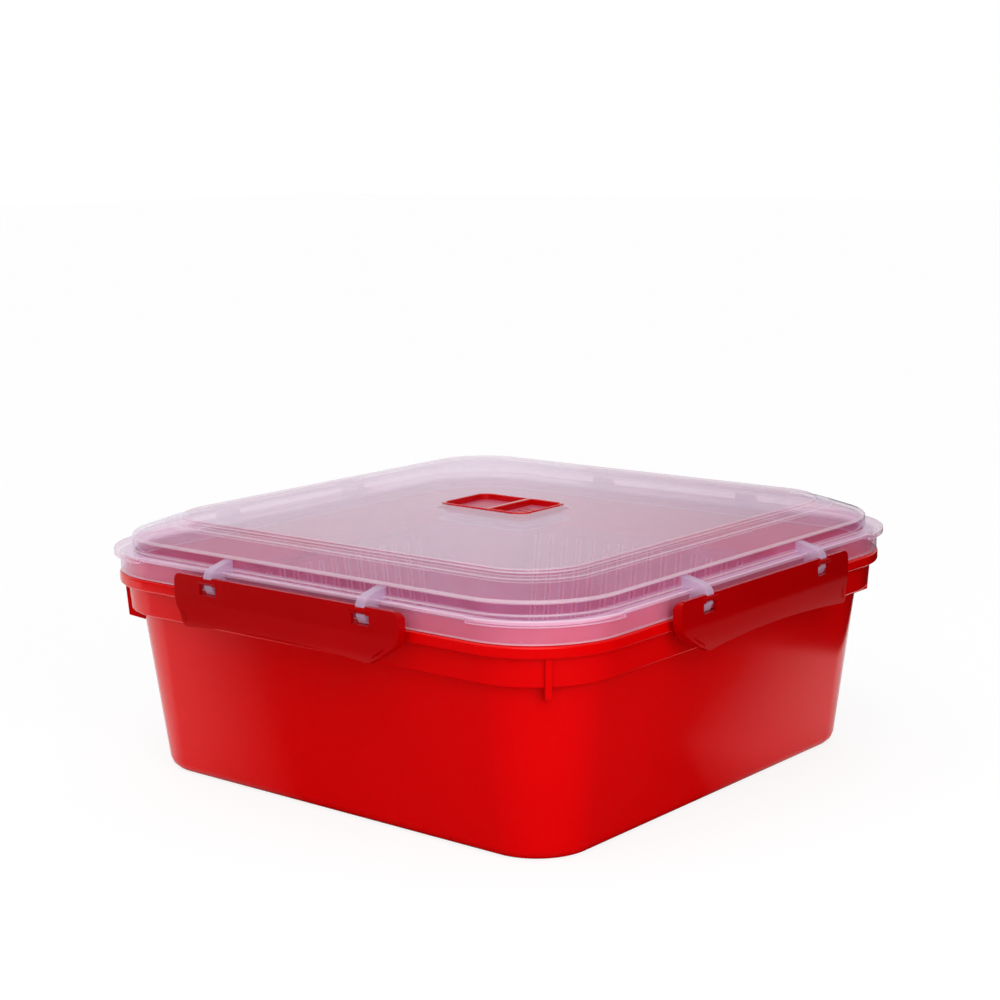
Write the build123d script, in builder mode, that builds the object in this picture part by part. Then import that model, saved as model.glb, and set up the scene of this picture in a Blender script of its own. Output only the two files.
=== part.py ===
"""Square airtight food container with a clip-on lid, steam vent and strainer basket.

Units are millimetres. The origin is the centre of the flat underside of the tub.
+Z is up, -Y is the front, +X is the right-hand side. Outlines are rounded squares,
written as half width and corner radius, and every level is a height above the table.
"""
import os
from math import sqrt

from build123d import *

# Tub, outside: every outline grows from the foot, every level from the band
foot_half = 106.0
foot_radius = 23.5
foot_edge_radius = 4.5
band_bottom = 67.9
body_spread = 9.0
band_step = 3.8
band_radius_step = 1.5
band_height = 11.2
band_draft = 0.7
band_edge = 0.8
flange_overhang = 3.3
flange_radius_step = 3.5
flange_height = 4.6
flange_edge = 1.0
rim_height = 6.5
rim_inset = 0.4
rim_edge = 0.6

# Tub, inside
tub_wall = 1.8
floor_thickness = 2.0
ledge_thickness = 1.9
rim_wall = 2.0
inner_floor_radius = 4.0

# Corner gussets under the tub flange
gusset_thickness = 2.5
gusset_drop = 17.5
gusset_inset = 1.8
gusset_lean = 1.2
gusset_toe = 2.6
gusset_root = 0.9

# Lid shell, from the tub's rim inwards and from the tub's flange upwards
lid_wall = 1.5
lid_wall_inset = 0.1
lid_wall_height = 5.3
shoulder_radius_step = 4.0
shoulder_run = 13.1
shoulder_rise = 4.7
shoulder_edge = 0.8
ledge_radius_drop = 11.0
ledge_width = 4.7
ledge_fall = 1.0
plateau_step = 1.4
plateau_draft = 1.0
plateau_radius_drop = 3.0
plateau_edge = 0.6
lid_flange_rise = 9.5
lid_flange_thickness = 1.5
lid_flange_width = 4.8
lid_flange_radius_step = 1.5
corner_lip_width = 1.2
corner_lip_radius_step = 0.5
corner_lip_height = 2.4
corner_lip_edge = 0.4
skirt_clearance = 1.7
skirt_wall = 1.6
skirt_gap = 0.2
tongue_clearance = 0.6
tongue_wall = 1.3
tongue_depth = 4.6

# Gasket in the lid channel
gasket_height = 1.2
gasket_side_clearance = 0.15
gasket_edge = 0.3

# Latches
latch_half_width = 58.4
latch_top_rise = 8.1
latch_height = 19.2
latch_foot_rise = 1.8
latch_corner_drop = 11.3
latch_corner_cut = 9.5
latch_top_corner = 3.0
latch_low_corner = 2.5
latch_reach = 7.2
latch_thickness = 1.8
latch_bend_drop = 7.8
latch_flare = 5.1
latch_return_depth = 3.9
latch_return_top_drop = 2.5
latch_return_rise = 3.4
catch_thickness = 1.8
catch_end_inset = 6.0
catch_engagement = 1.0
catch_gap = 0.05
catch_chamfer = 0.8
hinge_inset = 1.2
hinge_drop = 1.7
hinge_radius = 1.4
hinge_clearance = 0.08
window_width = 9.0
window_height = 3.8
window_gap = 0.1

# Lugs on the lid that carry the latches
lug_end_inset = 18.6
lug_thickness = 4.4
lug_side_clearance = 0.6
lug_slope_run = 2.9
lug_slope_fall = 1.8
lug_root_rise = 4.0
lug_mouth_high = 48.0
lug_mouth_low = 290.0
lug_lip_radius = 2.4
lug_jaw_depth = 5.2

# Steam vent in the middle of the lid
vent_length = 44.8
vent_width = 29.4
vent_radius = 5.0
vent_wall = 1.2
vent_recess = 2.5
vent_floor = 1.2
vent_proud = 0.4
vent_edge = 0.3
vent_under_chamfer = 1.5
vent_side_clearance = 0.5
vent_divider_offset = 3.0
vent_divider_thickness = 1.6
vent_ridge_count = 3
vent_ridge_pitch = 4.0
vent_ridge_length = 9.0
vent_ridge_width = 0.8
vent_ridge_height = 0.25
vent_hinge_inset = 3.7
vent_hinge_drop = 1.6
vent_pin_radius = 0.7
vent_pin_length = 1.2
vent_pin_clearance = 0.05
well_corner_relief = 0.4
well_wall = 2.0
well_floor = 1.5
steam_hole_inset = 12.5
steam_hole_radius = 3.0
plug_radius = 6.0
plug_height = 1.6
plug_seat_gap = 0.3
plug_nose_radius = 2.5
plug_nose_length = 1.3

# Strainer basket
basket_wall = 1.6
basket_rim_thickness = 1.8
basket_rim_clearance = 0.6
basket_wall_clearance = 1.5
basket_floor_level = 16.0
basket_floor_radius = 5.0
basket_floor = 1.6
slot_pitch = 8.2
slot_width = 2.5
slot_end_margin = 7.0
slot_top_margin = 2.2
slot_bottom_margin = 7.0
floor_slot_length = 34.0
floor_slot_width = 3.0
floor_slot_pitch = 9.6
floor_slot_row_pitch = 44.0
floor_slot_margin = 14.0

# Extra length that lets a cut break through, or a join sink in
overlap = 0.5

# Outlines and levels of the tub that follow from the sizes above
body_top_half = foot_half + body_spread
body_top_radius = foot_radius + body_spread
body_lean = body_spread / band_bottom
band_half = body_top_half + band_step
band_radius = body_top_radius + band_radius_step
band_top_half = band_half + band_draft
flange_half = band_top_half + flange_overhang
flange_radius = band_radius + flange_radius_step
flange_bottom = band_bottom + band_height
flange_top = flange_bottom + flange_height
rim_half = band_top_half - rim_inset
rim_top = flange_top + rim_height
ledge_level = band_bottom + ledge_thickness
rim_inner_half = rim_half - rim_wall
rim_inner_radius = band_radius - rim_wall

# Outlines and levels of the lid
lid_flange_top = flange_top + lid_flange_rise
channel_top = lid_flange_top - lid_flange_thickness
shoulder_half = rim_half - lid_wall_inset
shoulder_radius = band_radius + shoulder_radius_step
shoulder_level = lid_flange_top + lid_wall_height
ledge_half = shoulder_half - shoulder_run
ledge_radius = shoulder_radius - ledge_radius_drop
ledge_outer_level = shoulder_level + shoulder_rise
plateau_half = ledge_half - ledge_width - plateau_draft
plateau_radius = ledge_radius - plateau_radius_drop
plateau_level = ledge_outer_level + ledge_fall + plateau_step
lid_flange_half = shoulder_half + lid_flange_width
lid_flange_radius = shoulder_radius + lid_flange_radius_step
corner_lip_half = lid_flange_half + corner_lip_width
corner_lip_radius = lid_flange_radius + corner_lip_radius_step
corner_lip_start = corner_lip_half - corner_lip_radius
skirt_bottom = flange_top + skirt_gap
skirt_inner_half = rim_half + skirt_clearance
skirt_inner_radius = band_radius + skirt_clearance
skirt_half = skirt_inner_half + skirt_wall
skirt_radius = skirt_inner_radius + skirt_wall
tongue_half = rim_inner_half - tongue_clearance
tongue_radius = rim_inner_radius - tongue_clearance
tongue_inner_half = tongue_half - tongue_wall
tongue_inner_radius = tongue_radius - tongue_wall

# Places of the latches, their windows and the lugs
latch_top = flange_top + latch_top_rise
latch_foot = latch_top - latch_height
latch_face = flange_half + latch_reach
latch_back = latch_face - latch_thickness
catch_half_width = latch_half_width - catch_end_inset
hinge_outward = latch_face - hinge_inset
hinge_level = latch_top - hinge_drop
lug_bore = hinge_radius + hinge_clearance
lug_offset = latch_half_width - lug_end_inset
lug_root_level = lid_flange_top + lug_root_rise
lug_slope_level = lug_root_level - lug_slope_fall
window_top = hinge_level - hinge_radius - window_gap
window_bottom = window_top - window_height
notch_width = lug_thickness + 2 * lug_side_clearance

# Levels of the vent and its well
vent_top = plateau_level + vent_proud
vent_under = vent_top - vent_recess - vent_floor
vent_hinge_x = vent_length / 2 - vent_hinge_inset
steam_hole_offset = vent_length / 2 - steam_hole_inset
vent_hinge_level = vent_top - vent_hinge_drop
well_floor_top = vent_under - plug_height - plug_seat_gap


def body_half(level):
    """Half width of the tub's leaning outer wall at a height."""
    return foot_half + body_lean * level


def body_radius(level):
    """Corner radius of the tub's leaning outer wall at a height."""
    return foot_radius + body_lean * level


def corner_reach(half, radius):
    """Distance from the axis to the corner of a rounded square."""
    return (half - radius) * sqrt(2) + radius


def rounded_square(half, radius, level):
    """Rounded square face at a height."""
    with BuildSketch(Plane.XY.offset(level)) as outline:
        RectangleRounded(2 * half, 2 * half, radius)
    return outline.sketch


def walls(levels, mode=Mode.ADD):
    """Straight-sided solid through rounded squares of half width, radius and height."""
    loft([rounded_square(*level) for level in levels], ruled=True, mode=mode)


def ring(outer, inner, bottom, top):
    """Upright ring between two rounded squares of half width and radius."""
    with BuildSketch(Plane.XY.offset(bottom)) as band:
        RectangleRounded(2 * outer[0], 2 * outer[0], outer[1])
        RectangleRounded(2 * inner[0], 2 * inner[0], inner[1], mode=Mode.SUBTRACT)
    extrude(band.sketch, amount=top - bottom)


# Tub: leaning body, stepped band, flange and sealing rim in one moulding
with BuildPart() as tub_band:
    walls([(band_half, band_radius, band_bottom), (band_top_half, band_radius, flange_bottom)])
    fillet(tub_band.faces().sort_by(Axis.Z)[0].edges(), band_edge)

with BuildPart() as tub_flange:
    walls([(flange_half, flange_radius, flange_bottom), (flange_half, flange_radius, flange_top)])
    fillet(tub_flange.faces().filter_by(Axis.Z).edges(), flange_edge)

with BuildPart() as tub_cavity:
    walls(
        [
            (body_half(level) - tub_wall, body_radius(level) - tub_wall, level)
            for level in (floor_thickness, ledge_level)
        ]
    )
    fillet(tub_cavity.faces().sort_by(Axis.Z)[0].edges(), inner_floor_radius)

# One gusset plate, standing on the diagonal and rooted in the wall behind it
diagonal = Plane(origin=(0, 0, 0), x_dir=(1, 1, 0), z_dir=(1, -1, 0))
gusset_bottom = flange_bottom - gusset_drop
gusset_reach = corner_reach(flange_half, flange_radius) - gusset_inset
band_root = corner_reach(band_top_half, band_radius) - gusset_root
body_root = corner_reach(body_top_half, body_top_radius) - gusset_root
toe_root = corner_reach(body_half(gusset_bottom), body_radius(gusset_bottom)) - gusset_root
with BuildPart() as gusset:
    with BuildSketch(diagonal):
        with BuildLine():
            Polyline(
                (band_root, flange_bottom + gusset_root),
                (gusset_reach, flange_bottom + gusset_root),
                (gusset_reach - gusset_lean, gusset_bottom + gusset_toe),
                (toe_root, gusset_bottom),
                (body_root, band_bottom + gusset_root),
                (band_root, band_bottom + gusset_root),
                close=True,
            )
        make_face()
    extrude(amount=gusset_thickness / 2, both=True)

with BuildPart() as tub:
    walls([(foot_half, foot_radius, 0), (body_top_half, body_top_radius, band_bottom)])
    fillet(tub.faces().sort_by(Axis.Z)[0].edges(), foot_edge_radius)
    add(tub_band.part)
    add(tub_flange.part)
    walls([(rim_half, band_radius, flange_bottom), (rim_half, band_radius, rim_top)])
    with PolarLocations(0, 4):
        add(gusset.part)
    add(tub_cavity.part, mode=Mode.SUBTRACT)
    walls(
        [
            (band_half - tub_wall, band_radius - tub_wall, ledge_level),
            (rim_inner_half, rim_inner_radius, rim_top),
        ],
        mode=Mode.SUBTRACT,
    )
    fillet(tub.faces().sort_by(Axis.Z)[-1].edges(), rim_edge)
tub.part.label = "tub"

# Lug on the right-hand side of the lid: a C-shaped hook round the latch's hinge bar
skirt_root = skirt_inner_half + skirt_wall / 2
wall_root = shoulder_half - lid_wall / 2
jaw_bottom = hinge_level - lug_jaw_depth
with BuildPart() as lug_pair:
    with BuildSketch(Plane.XZ):
        with BuildLine():
            bore_arc = CenterArc(
                (hinge_outward, hinge_level), lug_bore, lug_mouth_high, lug_mouth_low - lug_mouth_high
            )
            lower_lip = PolarLine(bore_arc @ 1, lug_lip_radius - lug_bore, lug_mouth_low)
            jaw_front = Line(lower_lip @ 1, (latch_back, jaw_bottom))
            jaw_under = Line(jaw_front @ 1, (skirt_root, jaw_bottom))
            skirt_line = Line(jaw_under @ 1, (skirt_root, channel_top + overlap))
            shelf_line = Line(skirt_line @ 1, (wall_root, channel_top + overlap))
            wall_line = Line(shelf_line @ 1, (wall_root, lug_root_level))
            slope = Line(wall_line @ 1, (hinge_outward - lug_slope_run, lug_slope_level))
            nose_end = (bore_arc @ 0) + Vector(latch_face - (bore_arc @ 0).X, 0)
            nose = TangentArc(slope @ 1, nose_end, tangent=slope % 1)
            Line(nose @ 1, bore_arc @ 0)
        make_face()
    extrude(amount=lug_thickness / 2, both=True)

# Proud lip round each corner of the lid flange, cut away between the corners
with BuildPart() as corner_lip:
    ring(
        (corner_lip_half, corner_lip_radius),
        (skirt_half - overlap, skirt_radius - overlap),
        lid_flange_top - corner_lip_height,
        lid_flange_top,
    )
    fillet(corner_lip.faces().sort_by(Axis.Z)[-1].outer_wire().edges(), corner_lip_edge)
    with Locations((0, 0, lid_flange_top)):
        Box(2 * corner_lip_start, 4 * corner_lip_half, plateau_level, mode=Mode.SUBTRACT)
        Box(4 * corner_lip_half, 2 * corner_lip_start, plateau_level, mode=Mode.SUBTRACT)

# Well in the plateau that holds the vent, with a steam hole in its floor
well_length = vent_length + 2 * vent_side_clearance
well_width = vent_width + 2 * vent_side_clearance
well_radius = vent_radius - well_corner_relief
with BuildPart() as well_pan:
    with BuildSketch(Plane.XY.offset(well_floor_top - well_floor)):
        RectangleRounded(well_length + 2 * well_wall, well_width + 2 * well_wall, well_radius + well_wall)
    extrude(amount=plateau_level - lid_wall + overlap - (well_floor_top - well_floor))

# Lid: plateau, step, sloping shoulder, wall, flange, channel and skirt in one moulding
shoulder_slope = (ledge_outer_level - shoulder_level) / (shoulder_half - ledge_half)
slope_drop = lid_wall * sqrt(1 + shoulder_slope**2)
inner_shoulder_half = shoulder_half - lid_wall
inner_ledge_half = ledge_half - lid_wall / 2
with BuildPart() as lid:
    walls(
        [
            (shoulder_half, shoulder_radius, lid_flange_top - lid_flange_thickness),
            (shoulder_half, shoulder_radius, shoulder_level),
            (ledge_half, ledge_radius, ledge_outer_level),
            (plateau_half + plateau_draft, plateau_radius + plateau_draft, plateau_level - plateau_step),
            (plateau_half, plateau_radius, plateau_level),
        ]
    )
    fillet(lid.faces().sort_by(Axis.Z)[-1].edges(), plateau_edge)
    at_shoulder = lid.edges().filter_by_position(Axis.Z, shoulder_level, shoulder_level)
    fillet(at_shoulder, shoulder_edge)
    walls(
        [
            (inner_shoulder_half, shoulder_radius - lid_wall, channel_top),
            (
                inner_shoulder_half,
                shoulder_radius - lid_wall,
                shoulder_level + shoulder_slope * lid_wall - slope_drop,
            ),
            (
                inner_ledge_half,
                ledge_radius - lid_wall / 2,
                shoulder_level + shoulder_slope * (shoulder_half - inner_ledge_half) - slope_drop,
            ),
            (
                plateau_half + plateau_draft - lid_wall,
                plateau_radius + plateau_draft - lid_wall,
                plateau_level - plateau_step - lid_wall,
            ),
            (plateau_half - lid_wall, plateau_radius - lid_wall, plateau_level - lid_wall),
        ],
        mode=Mode.SUBTRACT,
    )
    ring(
        (lid_flange_half, lid_flange_radius),
        (tongue_inner_half, tongue_inner_radius),
        channel_top,
        lid_flange_top,
    )
    ring(
        (skirt_half, skirt_radius),
        (skirt_inner_half, skirt_inner_radius),
        skirt_bottom,
        channel_top,
    )
    ring(
        (tongue_half, tongue_radius),
        (tongue_inner_half, tongue_inner_radius),
        channel_top - tongue_depth,
        channel_top,
    )
    add(corner_lip.part)
    for side in (-lug_offset, lug_offset):
        with PolarLocations(0, 4):
            with Locations((0, side, 0)):
                add(lug_pair.part)
    add(well_pan.part)
    with BuildSketch(Plane.XY.offset(well_floor_top)):
        RectangleRounded(well_length, well_width, well_radius)
    extrude(amount=plateau_level - well_floor_top + overlap, mode=Mode.SUBTRACT)
    with BuildSketch(Plane.XY.offset(well_floor_top - well_floor)):
        with Locations((-steam_hole_offset, 0)):
            Circle(steam_hole_radius)
    extrude(amount=well_floor, mode=Mode.SUBTRACT)
    with BuildSketch(Plane.XZ):
        with Locations((vent_hinge_x, vent_hinge_level)):
            Circle(vent_pin_radius + vent_pin_clearance)
    extrude(
        amount=vent_width / 2 + vent_pin_length + vent_pin_clearance, both=True, mode=Mode.SUBTRACT
    )
lid.part.label = "lid"

# Gasket: a flat silicone ring seated against the top of the lid channel
with BuildPart() as gasket:
    ring(
        (skirt_inner_half - gasket_side_clearance, skirt_inner_radius - gasket_side_clearance),
        (tongue_half + gasket_side_clearance, tongue_radius + gasket_side_clearance),
        channel_top - gasket_height,
        channel_top,
    )
    fillet(gasket.faces().sort_by(Axis.Z)[0].edges(), gasket_edge)
gasket.part.label = "gasket"

# Latch seen from its end: a flat plate that flares out to a finger lip
bend_level = latch_top - latch_bend_drop
with BuildPart() as latch_plate:
    with BuildSketch(Plane.XZ):
        with BuildLine():
            face_line = Line((latch_face, bend_level), (latch_face, latch_top))
            top_line = Line(face_line @ 1, (latch_back, latch_top))
            back_line = Line(top_line @ 1, (latch_back, bend_level))
            back_flare = TangentArc(
                back_line @ 1, (latch_back + latch_flare, latch_foot), tangent=back_line % 1
            )
            foot_line = Line(back_flare @ 1, (latch_face + latch_flare, latch_foot))
            TangentArc(face_line @ 0, foot_line @ 1, tangent=back_line % 1)
        make_face()
    extrude(amount=latch_half_width, both=True)

# Latch seen from the front: square shoulders and cut-off lower corners
corner_level = latch_top - latch_corner_drop
foot_half_width = latch_half_width - latch_corner_cut
with BuildSketch(Plane.YZ) as latch_outline:
    with BuildLine():
        outline_start = Line((-latch_half_width, corner_level), (-latch_half_width, latch_top))
        outline_top = Line(outline_start @ 1, (latch_half_width, latch_top))
        outline_end = Line(outline_top @ 1, (latch_half_width, corner_level))
        cut_end = Line(outline_end @ 1, (foot_half_width, latch_foot))
        foot_arc = ThreePointArc(
            cut_end @ 1, (0, latch_foot + latch_foot_rise), (-foot_half_width, latch_foot)
        )
        Line(foot_arc @ 1, outline_start @ 0)
    make_face()
    fillet(latch_outline.vertices().group_by(Axis.Y)[-1], latch_top_corner)
    fillet(latch_outline.vertices().group_by(Axis.Y)[0], latch_low_corner)

# Shallow return wall along the latch's ends and cut corners
return_start = latch_face - latch_return_depth
return_bottom = latch_foot + latch_return_rise
return_top = latch_top - latch_return_top_drop
with BuildPart() as latch_return:
    with BuildSketch(Plane.YZ.offset(return_start)):
        add(latch_outline.sketch_local)
        offset(latch_outline.sketch_local, amount=-latch_thickness, mode=Mode.SUBTRACT)
    extrude(amount=latch_return_depth + latch_flare)
    with BuildSketch(Plane.XZ):
        with BuildLine():
            inner_edge = Line((return_start, return_top), (return_start, return_bottom))
            lower_edge = Line(inner_edge @ 1, (latch_back + latch_flare / 2, return_bottom))
            flare_edge = TangentArc(
                (latch_face - overlap, bend_level), lower_edge @ 1, tangent=(0, -1, 0)
            )
            upper_edge = Line(flare_edge @ 0, (latch_face - overlap, return_top))
            Line(upper_edge @ 1, inner_edge @ 0)
        make_face()
    extrude(amount=latch_half_width + overlap, both=True, mode=Mode.INTERSECT)

# Whole latch in its place on the right-hand side
catch_top = flange_bottom - catch_gap
catch_tip = flange_half - catch_engagement
with BuildPart() as right_latch:
    add(latch_plate.part)
    with BuildSketch(Plane.YZ.offset(latch_back - overlap)):
        add(latch_outline.sketch_local)
    extrude(amount=latch_thickness + latch_flare + 2 * overlap, mode=Mode.INTERSECT)
    add(latch_return.part)
    with BuildSketch(Plane.XZ):
        with BuildLine():
            Polyline(
                (catch_tip, catch_top - catch_chamfer),
                (catch_tip + catch_chamfer, catch_top),
                (latch_face - overlap, catch_top),
                (latch_face - overlap, catch_top - catch_thickness),
                (catch_tip, catch_top - catch_thickness),
                close=True,
            )
        make_face()
    extrude(amount=catch_half_width, both=True)
    for side in (-lug_offset, lug_offset):
        with BuildSketch(Plane.YZ.offset(latch_back - overlap)):
            with Locations((side, (window_top + window_bottom) / 2)):
                RectangleRounded(window_width, window_height, 4 * window_gap)
            with Locations((side, window_bottom + overlap)):
                Rectangle(notch_width, 2 * latch_top, align=(Align.CENTER, Align.MIN))
        extrude(amount=latch_thickness + 2 * overlap, mode=Mode.SUBTRACT)
        with BuildSketch(Plane.XZ.offset(-side - window_width / 2 - overlap)):
            with Locations((hinge_outward, hinge_level)):
                Circle(hinge_radius)
        extrude(amount=window_width + 2 * overlap)

latch_turns = {"latch_right": 0, "latch_back": 90, "latch_left": 180, "latch_front": 270}
latches = {}
for name, turn in latch_turns.items():
    with BuildPart() as latch:
        with Locations(Location((0, 0, 0), (0, 0, turn))):
            add(right_latch.part)
    latch.part.label = name
    latches[name] = latch.part

# Vent flap: a two-part tray that tips up about pins at its right-hand end
with BuildPart() as vent_flap:
    with BuildSketch(Plane.XY.offset(vent_under)):
        RectangleRounded(vent_length, vent_width, vent_radius)
    extrude(amount=vent_top - vent_under)
    fillet(vent_flap.faces().sort_by(Axis.Z)[-1].edges(), vent_edge)
    chamfer(vent_flap.faces().sort_by(Axis.Z)[0].edges(), vent_under_chamfer)
    with BuildSketch(Plane.XY.offset(vent_top - vent_recess)):
        RectangleRounded(
            vent_length - 2 * vent_wall, vent_width - 2 * vent_wall, vent_radius - vent_wall
        )
        with Locations((vent_divider_offset, 0)):
            Rectangle(vent_divider_thickness, vent_width, mode=Mode.SUBTRACT)
    extrude(amount=vent_recess + overlap, mode=Mode.SUBTRACT)
    ridge_middle = (vent_divider_offset + vent_length / 2) / 2
    with BuildSketch(Plane.XY.offset(vent_top - vent_recess)):
        with Locations((ridge_middle, 0)):
            with GridLocations(1, vent_ridge_pitch, 1, vent_ridge_count):
                SlotOverall(vent_ridge_length, vent_ridge_width)
    extrude(amount=vent_ridge_height)
    with BuildSketch(Plane.XZ.offset(vent_width / 2 - overlap)):
        with Locations((vent_hinge_x, vent_hinge_level)):
            Circle(vent_pin_radius)
    extrude(amount=vent_pin_length + overlap)
    with BuildSketch(Plane.XZ.offset(-vent_width / 2 + overlap)):
        with Locations((vent_hinge_x, vent_hinge_level)):
            Circle(vent_pin_radius)
    extrude(amount=-vent_pin_length - overlap)
vent_flap.part.label = "vent_flap"

# Vent plug: the silicone stopper under the flap that closes the steam hole
with BuildPart() as vent_plug:
    with BuildSketch(Plane.XY.offset(vent_under)):
        with Locations((-steam_hole_offset, 0)):
            Circle(plug_radius)
    extrude(amount=-plug_height)
    with BuildSketch(Plane.XY.offset(vent_under - plug_height)):
        with Locations((-steam_hole_offset, 0)):
            Circle(plug_nose_radius)
    extrude(amount=-plug_nose_length)
    fillet(vent_plug.faces().sort_by(Axis.Z)[0].edges(), gasket_edge)
vent_plug.part.label = "vent_plug"


def basket_half(level):
    """Half width of the basket's outer wall at a height."""
    return body_half(level) - tub_wall - basket_wall_clearance


def basket_radius(level):
    """Corner radius of the basket's outer wall at a height."""
    return body_radius(level) - tub_wall - basket_wall_clearance


# Strainer basket: slotted walls and floor, hung by its rim on the tub's inner ledge
basket_top = ledge_level + basket_rim_thickness
slot_top = ledge_level - slot_top_margin
slot_bottom = basket_floor_level + slot_bottom_margin
slot_count = int(2 * (foot_half - foot_radius - slot_end_margin) / slot_pitch)
floor_slot_room = 2 * (foot_half - floor_slot_margin)
floor_slot_columns = int(floor_slot_room / floor_slot_pitch)
floor_slot_rows = int(floor_slot_room / floor_slot_row_pitch)
with BuildPart() as basket_cavity:
    walls(
        [
            (basket_half(level) - basket_wall, basket_radius(level) - basket_wall, level)
            for level in (basket_floor_level + basket_floor, basket_top)
        ]
    )
    fillet(basket_cavity.faces().sort_by(Axis.Z)[0].edges(), basket_floor_radius - basket_wall)

with BuildPart() as strainer_basket:
    walls(
        [
            (basket_half(level), basket_radius(level), level)
            for level in (basket_floor_level, basket_top)
        ]
    )
    fillet(strainer_basket.faces().sort_by(Axis.Z)[0].edges(), basket_floor_radius)
    rim_outline = (
        band_half - tub_wall - basket_rim_clearance,
        band_radius - tub_wall - basket_rim_clearance,
    )
    ring(rim_outline, (foot_half, foot_radius), ledge_level, basket_top)
    add(basket_cavity.part, mode=Mode.SUBTRACT)
    for wall_plane in (Plane.XZ, Plane.YZ):
        with BuildSketch(wall_plane):
            with Locations((0, (slot_top + slot_bottom) / 2)):
                with GridLocations(slot_pitch, 1, slot_count, 1):
                    SlotOverall(slot_top - slot_bottom, slot_width, rotation=90)
        extrude(amount=body_top_half, both=True, mode=Mode.SUBTRACT)
    with BuildSketch(Plane.XY.offset(basket_floor_level)):
        with GridLocations(
            floor_slot_pitch, floor_slot_row_pitch, floor_slot_columns, floor_slot_rows
        ):
            SlotOverall(floor_slot_length, floor_slot_width, rotation=90)
    extrude(amount=basket_floor, mode=Mode.SUBTRACT)
strainer_basket.part.label = "strainer_basket"

os.makedirs("parts", exist_ok=True)
export_step(tub.part, "parts/tub.step")
export_step(lid.part, "parts/lid.step")
export_step(gasket.part, "parts/gasket.step")
export_step(vent_flap.part, "parts/vent_flap.step")
export_step(vent_plug.part, "parts/vent_plug.step")
export_step(strainer_basket.part, "parts/strainer_basket.step")
for name, latch_part in latches.items():
    export_step(latch_part, f"parts/{name}.step")
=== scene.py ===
"""Looks of a square clip-lid food container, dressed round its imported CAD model.

The tub, lid, gasket, latches, vent and strainer basket are modelled again as fine meshes in
the places that the CAD model gives them, and take moulded plastic and silicone finishes.
Size fields are in millimetres, outlines and meshes in metres. The frame is the CAD model's
own: origin under the middle of the tub, +Z up, -Y the front, +X the right-hand side.
"""
import logging
import math
from dataclasses import dataclass, field
from enum import Enum
from typing import Iterable, Sequence

import bmesh
import bpy
from mathutils import Matrix, Vector


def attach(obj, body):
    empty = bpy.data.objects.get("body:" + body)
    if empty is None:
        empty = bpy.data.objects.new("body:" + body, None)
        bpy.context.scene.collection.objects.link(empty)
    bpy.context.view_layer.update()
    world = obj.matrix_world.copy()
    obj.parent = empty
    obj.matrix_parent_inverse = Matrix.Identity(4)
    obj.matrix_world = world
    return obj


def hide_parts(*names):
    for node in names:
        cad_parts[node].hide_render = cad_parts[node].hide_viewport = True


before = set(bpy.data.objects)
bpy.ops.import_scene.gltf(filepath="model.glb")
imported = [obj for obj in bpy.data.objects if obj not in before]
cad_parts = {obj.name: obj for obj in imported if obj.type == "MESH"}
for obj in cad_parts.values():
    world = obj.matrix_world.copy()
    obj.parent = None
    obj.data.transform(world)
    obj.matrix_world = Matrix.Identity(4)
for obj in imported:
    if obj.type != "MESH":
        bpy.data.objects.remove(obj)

LOG = logging.getLogger("food_container")
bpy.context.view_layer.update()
MM = 0.001
CORNER_SEGMENTS = 20
COARSE_SEGMENTS = 10
SHARP_ANGLE = math.radians(38)
X, Y, Z = Vector((1, 0, 0)), Vector((0, 1, 0)), Vector((0, 0, 1))
WHITE = (1.0, 1.0, 1.0, 1.0)
Size = tuple[float, float]  # half width and corner radius of a rounded square


class Slot(Enum):
    """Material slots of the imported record."""

    RED_BODY = "red_gloss"
    RED_CLIP = "red_latch"
    CLEAR = "clear_natural"
    BASKET = "natural_basket"
    SEAL = "silicone_seal"


class Body(Enum):
    """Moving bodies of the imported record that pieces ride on, apart from the latches' own."""

    TUB = "tub"
    LID = "lid"
    VENT = "vent"
    BASKET = "basket"


class Side(Enum):
    """The four sides that carry a latch, each with its turn about the upright axis."""

    RIGHT = 0
    BACK = 90
    LEFT = 180
    FRONT = 270

    @property
    def node(self) -> str:
        """Name of the latch node and body on this side."""
        return f"latch_{self.name.lower()}"

    @property
    def turn(self) -> Matrix:
        """Rotation that carries a right-hand piece to this side."""
        return Matrix.Rotation(math.radians(self.value), 4, "Z")


def spread(count: int, pitch: float) -> list[float]:
    """Places of evenly spaced copies, centred on zero."""
    return [(index - (count - 1) / 2) * pitch for index in range(count)]


def inset(size: Size, amount: float) -> Size:
    """Rounded square that lies evenly inside another."""
    return size[0] - amount, size[1] - amount


def new_verts(made: Iterable) -> list:
    """Vertices among the parts that a mesh operator made."""
    return [part for part in made if isinstance(part, bmesh.types.BMVert)]


def edges_at(corners: Iterable) -> list:
    """Edges that end at some corners, each once, in the order in which they are met."""
    return list(dict.fromkeys(line for corner in corners for line in corner.link_edges))


def face_out(mesh: bmesh.types.BMesh) -> None:
    """Turn every face of a closed mesh outwards."""
    bmesh.ops.recalc_face_normals(mesh, faces=mesh.faces[:])


def bevel(
    mesh: bmesh.types.BMesh, geom: Sequence, offset: float, segments: int = 2,
    material: int = -1, affect: str = "EDGES", clamp: bool = False,
) -> None:
    """Round edges, or the corners of a flat face.

    Args:
        mesh: Mesh that they belong to.
        geom: The edges or corners.
        offset: Amount in metres.
        segments: Strips in the rounding.
        material: Material index of the rounding, or -1 for that of its neighbours.
        affect: "EDGES" or "VERTICES".
        clamp: Whether roundings stop where they meet each other.
    """
    bmesh.ops.bevel(
        mesh, geom=geom, offset=offset, affect=affect, segments=segments, profile=0.5,
        material=material, clamp_overlap=clamp,
    )


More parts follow.
